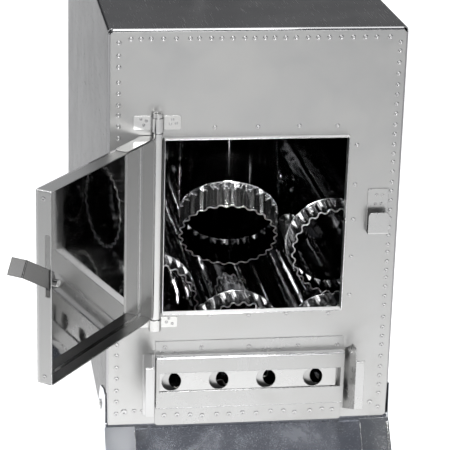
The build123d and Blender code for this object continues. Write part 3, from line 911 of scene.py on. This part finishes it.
@dataclass
class RolledEdges:
    """Rounded rims along folds and cut edges of the front's sheet, bright from a painted highlight
    in their near-white steel.

    Attributes:
        rim: radius of a cut edge's rim.
        lip: x and z of the corners of the opening's lip.
        lip_out: y of the lip's front edge.
        cover: half length, y, z and radius of each rim of the intake cover.
        leg: x and radius of each rim of the front leg.
        leg_span: lower and upper end of those, above the ground.
        door_span: ends of the door pan along the door.
        door_rise: ends of the door pan in height.
        door_face: the pan's rim and its back, away from its outer face.
    """

    finishes: Finishes
    rim: float = 0.34
    lip: tuple[tuple[float, float], ...] = (
        (-77.7, 104.0), (77.7, 104.0), (77.7, 259.8), (-77.7, 259.8),
    )
    lip_out: float = -6.0
    cover: tuple[tuple[float, float, float, float], ...] = (
        (82.3, -7.7, 64.4, 1.1), (82.3, -7.7, 17.8, 0.34),
        (79.5, -7.6, 33.0, 0.34), (79.5, -7.6, 50.7, 0.272),
    )
    leg: tuple[tuple[float, float], ...] = ((-99.9, 0.5), (99.9, 0.5), (124.6, 1.5))
    leg_span: tuple[float, float] = (1.2, 107.2)
    door_span: tuple[float, float] = (5.2, 164.7)
    door_rise: tuple[float, float] = (102.6, 261.2)
    door_face: tuple[float, float] = (-0.3, -13.0)

    def rods(self, name: str, body: str, runs: list[Rim]) -> None:
        """Model one rim for each run and join them into a piece.

        Args:
            name: the piece's name.
            body: the body that it rides on.
            runs: ends of each rim in metres, and its radius in millimetres.
        """
        made = []
        for start, end, radius in runs:
            MeshBench.clear()
            along = end - start
            bpy.ops.mesh.primitive_cylinder_add(
                vertices=10, radius=radius / 1000, depth=along.length, location=(start + end) / 2,
                rotation=along.to_track_quat("Z", "Y").to_euler(),
            )
            rod = bpy.context.object
            MeshBench.settle(rod)
            for face in rod.data.polygons:
                face.select = len(face.vertices) > 4
            bpy.ops.object.mode_set(mode="EDIT")
            bpy.ops.mesh.select_mode(type="FACE")
            bpy.ops.mesh.bevel(offset=radius / 2600, segments=2)
            bpy.ops.object.mode_set(mode="OBJECT")
            made.append(rod)
        MeshBench.clear()
        for rod in made:
            rod.select_set(True)
        bpy.context.view_layer.objects.active = made[0]
        bpy.ops.object.join()
        piece = bpy.context.object
        piece.name = name
        bpy.ops.object.shade_smooth_by_angle(angle=math.radians(60))
        # Painted highlight: every rim takes the near-white bend steel
        piece.data.materials.append(self.finishes.sheet(BEND))
        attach(piece, body)
        log.info("%s: %d rims", name, len(runs))

    @staticmethod
    def on_leg(x: float, z: float) -> Vector:
        """Give the point of the front leg's face at a height above the ground, in metres."""
        return Vector((x, z * LEG_SLOPE + LEG_FACE_FOOT, z)) / 1000

    def door_rims(self) -> list[Rim]:
        """List the rims of the door pan.

        Returns:
            Ends of each rim in metres, and its radius in millimetres.
        """
        (near, far), (base, top), (rim, back) = self.door_span, self.door_rise, self.door_face
        outline = ((near, base), (far, base), (far, top), (near, top))
        ends = [door_place(u, rim, z) for u, z in outline]
        deep = [door_place(far, back, z) for z in (base, top)]
        pairs = [
            (ends[0], ends[1]), (ends[1], ends[2]), (ends[2], ends[3]),
            (deep[0], deep[1]), (ends[1], deep[0]), (ends[2], deep[1]),
        ]
        return [(start, end, self.rim) for start, end in pairs]

    def build(self) -> None:
        """Make the rims of the opening, the intake cover, the front leg and the door pan."""
        lip = [place(x, self.lip_out, z) for x, z in self.lip]
        self.rods("door_frame_rim", "stove_body", [
            (corner, lip[(i + 1) % len(lip)], self.rim) for i, corner in enumerate(lip)
        ])
        self.rods("intake_cover_folds", "stove_body", [
            (place(-half, y, z), place(half, y, z), radius) for half, y, z, radius in self.cover
        ])
        low, high = self.leg_span
        self.rods("front_leg_rim", "front_leg", [
            (self.on_leg(x, low), self.on_leg(x, high), radius) for x, radius in self.leg
        ])
        self.rods("door_pan_rim", "door", self.door_rims())


@dataclass
class LegHems:
    """Folded top edges of the two leg plates, which close them against the body's floor.

    Attributes:
        width: across the plate.
        low: lower end of the hem above the ground.
        high: upper end of the hem above the ground.
        sheet: gauge.
        mirror: twice the distance of the stove's middle from the front foot.
    """

    finishes: Finishes
    width: float = 250.0
    low: float = 99.0
    high: float = 111.6
    sheet: float = 0.8
    mirror: float = 675.6

    def build(self) -> None:
        """Make the hem of each leg."""
        legs = (("front_leg_hem", "front_leg", False), ("rear_leg_hem", "rear_leg", True))
        for name, body, rear in legs:
            MeshBench.clear()
            rise = self.high - self.low
            bpy.ops.mesh.primitive_cube_add(size=0.001, location=(0, 0, 0))
            hem = bpy.context.object
            hem.data.transform(Matrix.Diagonal((self.width, self.sheet, rise, 1.0)))
            bpy.ops.object.mode_set(mode="EDIT")
            bpy.ops.mesh.select_all(action="SELECT")
            bpy.ops.mesh.bevel(offset=0.0002, segments=2)
            bpy.ops.object.mode_set(mode="OBJECT")
            middle = (self.high + self.low) / 2
            for vert in hem.data.vertices:
                z = vert.co.z * 1000 + middle
                y = vert.co.y * 1000 + LEG_FOOT + z * LEG_SLOPE + self.sheet
                vert.co.y, vert.co.z = (self.mirror - y if rear else y) / 1000, z / 1000
            bpy.ops.object.mode_set(mode="EDIT")
            bpy.ops.mesh.select_all(action="SELECT")
            bpy.ops.mesh.normals_make_consistent(inside=False)
            bpy.ops.object.mode_set(mode="OBJECT")
            hem.name = name
            hem.data.materials.append(self.finishes.sheet(LEG))
            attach(hem, body)
            log.info("%s rides on %s", name, body)


@dataclass
class Viewpoint:
    """The photograph's camera, fitted to the stove's edges.

    Attributes:
        at: place in millimetres of the CAD frame.
        azimuth: turn about the vertical, in degrees.
        elevation: how far it looks down, in degrees.
        roll: turn about the line of sight, in degrees.
        lens: focal length for a 36 mm sensor.
    """

    at: Triple = (-253.8, -1415.6, 828.9)
    azimuth: float = -8.66
    elevation: float = 19.38
    roll: float = 1.564
    lens: float = 152.5

    def build(self) -> None:
        """Put the camera in the scene."""
        az, el, roll = (math.radians(a) for a in (self.azimuth, self.elevation, self.roll))
        ahead = Vector((-math.sin(az) * math.cos(el), math.cos(az) * math.cos(el), -math.sin(el)))
        right = Vector((math.cos(az), math.sin(az), 0.0))
        up = right.cross(ahead)
        across = right * math.cos(roll) + up * math.sin(roll)
        over = up * math.cos(roll) - right * math.sin(roll)
        data = bpy.data.cameras.new("photo_camera")
        data.lens = self.lens
        data.sensor_width = 36.0
        data.clip_start = 0.05
        data.clip_end = 50.0
        cam = bpy.data.objects.new("photo_camera", data)
        cam.matrix_world = Matrix.Translation(Vector(self.at) / 1000) @ Matrix(
            (across, over, -ahead)
        ).transposed().to_4x4()
        bpy.context.collection.objects.link(cam)
        bpy.context.scene.camera = cam


@dataclass(frozen=True)
class SoftBox:
    """One square soft box.

    Attributes:
        name: the light's name.
        at: its place, in metres.
        to: the point it is aimed at.
        size: its side length, in metres.
        power: its power in watts.
    """

    name: str
    at: Triple
    to: Triple
    size: float
    power: float


# The last but one hangs under the firebox's roof and lights the crimped ends
SOFT_BOXES = (
    SoftBox("overhead_box", (0.0, 1.1, 2.9), (0.0, 1.1, 0.0), 3.2, 74.0),
    SoftBox("top_box", (0.0, -0.45, 2.4), (0.0, 0.08, 0.2), 0.8, 14.0),
    SoftBox("front_box", (0.1, -2.1, 1.0), (0.0, 0.1, 0.25), 0.9, 13.0),
    SoftBox("rear_card", (0.5, 3.2, 1.6), (0.0, 0.4, 0.35), 2.6, 8.0),
    SoftBox("firebox_card", (-0.02, 0.125, 0.44), (-0.01, 0.2, 0.27), 0.05, 0.36),
    SoftBox("left_box", (-2.4, -0.4, 1.3), (0.0, 0.2, 0.1), 1.0, 8.0),
)


@dataclass
class Studio:
    """Pale floor, soft lights and a dark room that the polished sheet mirrors.

    Attributes:
        room: linear colour of the room in the sheet's reflections.
        page: brightness of the page behind the stove.
        floor_size: side length of the floor, in metres.
        glow_peak: brightness of the floor just before the stove.
        glow_at: middle of that brightness, in metres.
        glow_reach: distance at which it ends.
    """

    room: Triple = (0.17, 0.175, 0.19)
    page: float = 1.05
    floor_size: float = 9.0
    glow_peak: float = 1.5
    glow_at: Triple = (-0.1, -0.1, 0.0)
    glow_reach: float = 1.1

    def build(self) -> None:
        """Make the floor, the lights and the world."""
        MeshBench.clear()
        bpy.ops.mesh.primitive_plane_add(size=self.floor_size, location=(0, 0.5, -0.0005))
        floor = bpy.context.object
        floor.name = "studio_floor"
        MeshBench.settle(floor)
        mat = bpy.data.materials.new("pale_floor")
        mat.use_nodes = True
        shader = mat.node_tree.nodes["Principled BSDF"]
        shader.inputs["Base Color"].default_value = (0.93, 0.93, 0.93, 1.0)
        shader.inputs["Roughness"].default_value = 0.9
        shader.inputs["Specular IOR Level"].default_value = 0.0
        shader.inputs["Emission Color"].default_value = (1.0, 1.0, 1.0, 1.0)
        shader.inputs["Emission Strength"].default_value = 1.0
        self._glow(mat.node_tree, shader)
        floor.data.materials.append(mat)
        for box in SOFT_BOXES:
            self._light(box)
        self._world()

    def _glow(self, tree: Tree, shader: bpy.types.Node) -> None:
        """Light the floor from within, most just before the stove, and again far away from it.

        Args:
            tree: the floor's nodes.
            shader: its shader.
        """
        spot = add(tree, "ShaderNodeTexCoord").outputs["Object"]
        front = compare(tree, "DISTANCE", spot, self.glow_at)
        middle = compare(tree, "DISTANCE", spot, (0.0, 0.3, 0.0))
        depth = add(tree, "ShaderNodeSeparateXYZ", {"Vector": spot}).outputs["Y"]
        near = ramp(tree, front, (0.0, self.glow_reach), (1.0, 0.0))
        peak = combine(tree, "POWER", near, 1.6)
        behind = ramp(tree, depth, (-0.1, 0.35), (0.0, 0.3))
        away = ramp(tree, middle, (1.6, 3.6), (0.0, 0.6))
        rest = combine(tree, "ADD", behind, away)
        total = combine(tree, "MULTIPLY_ADD", peak, self.glow_peak, rest)
        tree.links.new(total, shader.inputs["Emission Color"])

    @staticmethod
    def _light(box: SoftBox) -> None:
        """Hang one soft box.

        Args:
            box: its place and size.
        """
        data = bpy.data.lights.new(box.name, "AREA")
        data.size = box.size
        data.energy = box.power
        lamp = bpy.data.objects.new(box.name, data)
        lamp.location = box.at
        aim = Vector(box.to) - Vector(box.at)
        lamp.rotation_euler = aim.to_track_quat("-Z", "Y").to_euler()
        bpy.context.collection.objects.link(lamp)

    def _world(self) -> None:
        """Show the camera a white page and the sheet a dark room."""
        world = bpy.data.worlds.new("studio")
        bpy.context.scene.world = world
        world.use_nodes = True
        tree = world.node_tree
        room = tree.nodes["Background"]
        room.inputs["Color"].default_value = (*self.room, 1.0)
        white = {"Color": (1.0, 1.0, 1.0, 1.0), "Strength": self.page}
        page = add(tree, "ShaderNodeBackground", white)
        seen = add(tree, "ShaderNodeLightPath").outputs["Is Camera Ray"]
        mix = add(tree, "ShaderNodeMixShader", {0: seen, 1: room.outputs[0], 2: page.outputs[0]})
        tree.links.new(mix.outputs[0], tree.nodes["World Output"].inputs["Surface"])
        bpy.context.scene.view_settings.view_transform = "Standard"


@dataclass
class Stove:
    """The CAD nodes and which finish each one takes."""

    finishes: Finishes

    def build(self) -> None:
        """Dress every CAD node."""
        table = {
            FRONT: ("front_panel",),
            WALL: ("body_wrap",),
            REAR: ("rear_panel", "floor_pan"),
            GRATE: ("grate",),
            FRAME: ("door_frame", "intake_cover"),
            BRACKET: ("tray_bracket_left",),
            TRIM: ("tray_bracket_right", "door_catch", "air_slider", "flue_collar"),
            LATCH: ("latch_handle",),
            MIRROR: ("door_pan",),
            TUBE: ("flue_socket",),
            crimped(BASE_INDEX, BASE_RUN.normalized(), place(*BASE_MOUTH)): (
                "chimney_base_section",
            ),
            **{
                crimped(i, Vector((0.0, 1.0, 0.0)), place(*at)): (f"chimney_section_{i + 1}",)
                for i, at in enumerate(SECTION_MOUTHS)
            },
            LEG: ("front_leg_plate", "rear_leg_plate"),
            LEG_HIGHLIGHT: ("front_leg_angle_left",),
            LEG_FACE: ("front_leg_angle_right", "rear_leg_angle_left", "rear_leg_angle_right"),
            HINGE: (
                "hinge_strap_upper", "hinge_strap_lower", "hinge_knuckle_upper",
                "hinge_knuckle_lower", "hinge_pin", "door_hinge_tube", "door_strap_upper",
                "door_strap_lower", "latch_pin", "leg_rivets_front", "leg_rivets_rear",
            ),
        }
        for finish, nodes in table.items():
            for node in nodes:
                self.finishes.dress(node, finish)
                log.info("%s takes %s", node, finish.name)


def main() -> None:
    """Build the looks in order."""
    logging.basicConfig(level=logging.INFO, format="%(name)s %(message)s")
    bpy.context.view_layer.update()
    Viewpoint().build()
    Studio().build()
    finishes = Finishes()
    Stove(finishes).build()
    SpotWelds(finishes).build()
    FlueEnds(finishes).build()
    RolledEdges(finishes).build()
    LegHems(finishes).build()


if __name__ == "__main__":
    main()
